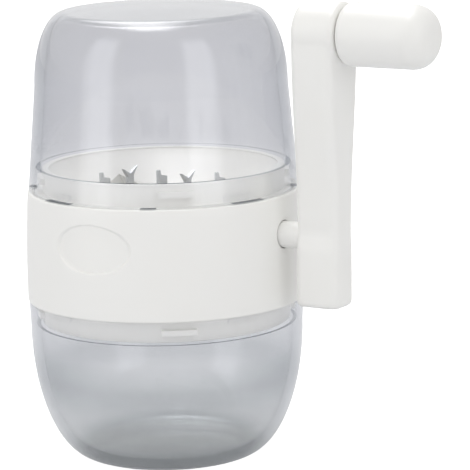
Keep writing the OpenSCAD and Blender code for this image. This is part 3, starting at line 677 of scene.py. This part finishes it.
past = 1  # how far a cutter runs past the piece
pocket_r = 5.25
pocket_x1 = head_x0 + 3
spindle_r = 3.05
spindle_bore = [
    (0, arm_x0 - past), (pocket_r, arm_x0 - past), (pocket_r, pocket_x1), (spindle_r, pocket_x1),
    (spindle_r, head_x1 + past), (0, head_x1 + past)]
combine(arm, turned("spindle_bore", spindle_bore, (0, 0, knob_z), along_x), "DIFFERENCE")
stub_soft = 0.4
stub_x1 = arm_x0 + 2
stub_bar = rounded([(0, stub_x0, 0), (stub_r, stub_x0, stub_soft), (stub_r, stub_x1, 0), (0, stub_x1, 0)])
combine(arm, turned("arm_stub", stub_bar, (0, 0, shaft_z), along_x), "UNION")
drive_r = 2.65
drive_x1 = arm_x0 + 8.8
drive_bore = [(0, stub_x0 - past), (drive_r, stub_x0 - past), (drive_r, drive_x1), (0, drive_x1)]
shaft_room = turned("shaft_room", drive_bore, (0, 0, shaft_z), along_x)
grub_r = 2.05
grub_x = arm_x0 + 4.3
grub_bore = [(0, 0), (grub_r, 0), (grub_r, arm_bar_w), (0, arm_bar_w)]
combine(shaft_room, turned("grub_bore", grub_bore, (grub_x, 0, shaft_z), (0, 1, 0)), "UNION")
combine(arm, shaft_room, "DIFFERENCE")
finish_piece(arm, white_abs, "crank", "crank_arm")
dress("grub_screw", fastener_steel, clip_soft)
dress("knob_spindle", fastener_steel, turned_soft)


# Knob.
# A white ABS grip that turns on its spindle: a plain cylinder with a soft shoulder towards the arm and
# a domed free end.

knob_low, knob_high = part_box("knob")
knob_closer = 0.15
knob_shorter = 0.01
knob_x0 = knob_low.x / MM - knob_closer
knob_x1 = knob_high.x / MM - knob_shorter
knob_r = (knob_high.z - knob_low.z) / MM / 2
knob_dome = 6.8
knob_end_r = 3.2
shoulder_round = 2.4
bore_soft = 0.5
bore_x1 = knob_x0 + 16
knob_shoulder = rounded([
    (spindle_r, bore_x1, 0), (spindle_r, knob_x0, bore_soft), (knob_r, knob_x0, shoulder_round),
    (knob_r, knob_x1 - knob_dome, 0)])
knob_outline = [(0, bore_x1)] + knob_shoulder
knob_outline += oval_corner(knob_end_r, knob_r - knob_end_r, knob_x1 - knob_dome, knob_dome)[1:]
knob_outline += [(0, knob_x1)]
knob_grip = turned("knob_grip", knob_outline, (0, 0, knob_z), along_x)
finish_piece(knob_grip, white_abs, "knob", "knob")


# Studio.
# A pale paper floor in a white surround, with cloth soft boxes left and right of the camera, behind the
# object and overhead, and a card under the last that shows only as gloss. The floor is grey to plastic.

floor_mesh = bpy.data.meshes.new("floor")
floor_half = 6
floor_mesh.from_pydata(
    [(-floor_half, -floor_half, 0), (floor_half, -floor_half, 0),
     (floor_half, floor_half, 0), (-floor_half, floor_half, 0)], [], [(0, 1, 2, 3)])
floor = bpy.data.objects.new("floor", floor_mesh)
floor_gap = 0.2
floor.location.z = -floor_gap * MM
scene.collection.objects.link(floor)
floor_material = blank_material("white_paper_floor")
floor_tree = floor_material.node_tree
floor_path = put(floor_tree, "LightPath")
paper = put(floor_tree, "BsdfDiffuse", {"Color": linear("#f8f8f8")})
glow = put(floor_tree, "Emission", {"Color": linear("#ffffff"), "Strength": 0.5})
lit_paper = put(floor_tree, "AddShader", {0: paper.outputs[0], 1: glow.outputs[0]})
sheet = put(floor_tree, "BsdfDiffuse", {"Color": linear("#dfe0e3")})
floor_shown = put(floor_tree, "MixShader", {
    0: floor_path.outputs["Is Camera Ray"], 1: sheet.outputs[0], 2: lit_paper.outputs[0]})
put(floor_tree, "OutputMaterial", {"Surface": floor_shown.outputs[0]})
floor_mesh.materials.append(floor_material)

surround = bpy.data.worlds.new("surround")
surround.use_nodes = True
surround_tree = surround.node_tree
surround_tree.nodes.clear()
surround_path = put(surround_tree, "LightPath")
surround_light = 0.75
surround_level = put(surround_tree, "MapRange", {
    "Value": surround_path.outputs["Is Camera Ray"], "To Min": surround_light, "To Max": 1.0})
wall = put(surround_tree, "Background", {
    "Color": linear("#fffefd"), "Strength": surround_level.outputs[0]})
put(surround_tree, "OutputWorld", {"Surface": wall.outputs[0]})
scene.world = surround
scene.view_settings.view_transform = "Standard"

view_azimuth = 31.8
view_elevation = 10.6
frame_px = 470
focal_px = 3150
view_distance = 0.982
axis_px = 165
view_roll = 1.45
look_at = Vector((0, 0, 0.069))


def toward(azimuth_deg, elevation_deg):
    a, e = radians(azimuth_deg), radians(elevation_deg)
    return Vector((sin(a) * cos(e), -cos(a) * cos(e), sin(e)))


def soft_box(name, place, width, height, radiance, aim, even=0.5):
    """A lamp behind cloth, at a place and facing the way of aim. Its light is level over the share even
    of its width and height, and fades from there to its edges."""
    x, y = width / 2, height / 2
    cloth_mesh = bpy.data.meshes.new(name)
    cloth_mesh.from_pydata([(-x, -y, 0), (x, -y, 0), (x, y, 0), (-x, y, 0)], [], [(0, 1, 2, 3)])
    box = bpy.data.objects.new(name, cloth_mesh)
    box.location = place
    box.rotation_euler = aim.to_track_quat("Z", "Y").to_euler()
    scene.collection.objects.link(box)
    cloth = blank_material(name)
    tree = cloth.node_tree
    across = put(tree, "SeparateXYZ", {0: put(tree, "TexCoord").outputs["Object"]})
    level = 1.0
    for axis, half in (("X", x), ("Y", y)):
        away = put(tree, "Math", {0: across.outputs[axis]}, operation="ABSOLUTE")
        fade = put(tree, "MapRange", {
            "Value": away.outputs[0], "From Min": half * even, "From Max": half, "To Min": 1, "To Max": 0},
            interpolation_type="SMOOTHSTEP")
        level = put(tree, "Math", {0: level, 1: fade.outputs[0]}, operation="MULTIPLY").outputs[0]
    clear = put(tree, "BsdfTransparent")
    glow = put(tree, "Emission", {"Strength": radiance})
    faded = put(tree, "MixShader", {0: level, 1: clear.outputs[0], 2: glow.outputs[0]})
    put(tree, "OutputMaterial", {"Surface": faded.outputs[0]})
    cloth_mesh.materials.append(cloth)
    box.visible_camera = False
    return box


def upright_box(name, azimuth_deg, distance, low, width, height, radiance):
    """A soft box that stands upright beside the object and faces it."""
    place = toward(azimuth_deg, 0) * distance
    soft_box(name, place + Vector((0, 0, low + height / 2)), width, height, radiance, -place)


side_distance = 0.9
side_low = -0.25
side_w = 0.62
side_h = 1.3
upright_box("soft_box_left", view_azimuth - 60, side_distance, side_low, side_w, side_h, radiance=1.85)
upright_box("soft_box_right", view_azimuth + 37, side_distance, side_low, side_w, side_h, radiance=1.8)
rear_distance = 1.3
rear_low = 0.05
rear_w = 1.8
rear_h = 0.9
upright_box("soft_box_rear", view_azimuth + 180, rear_distance, rear_low, rear_w, rear_h, radiance=0.92)
top_distance = 1.1
top_elevation = 72
top_shift = 0.1
overhead = toward(view_azimuth + 180, top_elevation) * top_distance
to_left = toward(view_azimuth - 90, 0) * top_shift
top_w = 0.75
top_h = 1.8
soft_box("soft_box_top", overhead + to_left, top_w, top_h, radiance=2.5, aim=-overhead)
card_w = 0.56
card_h = 1.75
card_closer = 0.98
card_place = overhead * card_closer + to_left
gloss_card = soft_box("gloss_card_top", card_place, card_w, card_h, radiance=6.2, aim=-overhead, even=0.2)
gloss_card.visible_diffuse = False
gloss_card.visible_shadow = False

camera_data = bpy.data.cameras.new("photo_camera")
camera_data.sensor_width = 36
camera_data.lens = focal_px / frame_px * camera_data.sensor_width
camera = bpy.data.objects.new("photo_camera", camera_data)
back = toward(view_azimuth, view_elevation)
right = toward(view_azimuth + 90, 0)
basis = Matrix((right, back.cross(right), back)).transposed()
turn_right = atan((frame_px / 2 - axis_px) / focal_px)
aimed = basis @ Matrix.Rotation(-radians(view_roll), 3, "Z") @ Matrix.Rotation(-turn_right, 3, "Y")
camera.matrix_world = Matrix.Translation(look_at + back * view_distance) @ aimed.to_4x4()
scene.collection.objects.link(camera)
scene.camera = camera
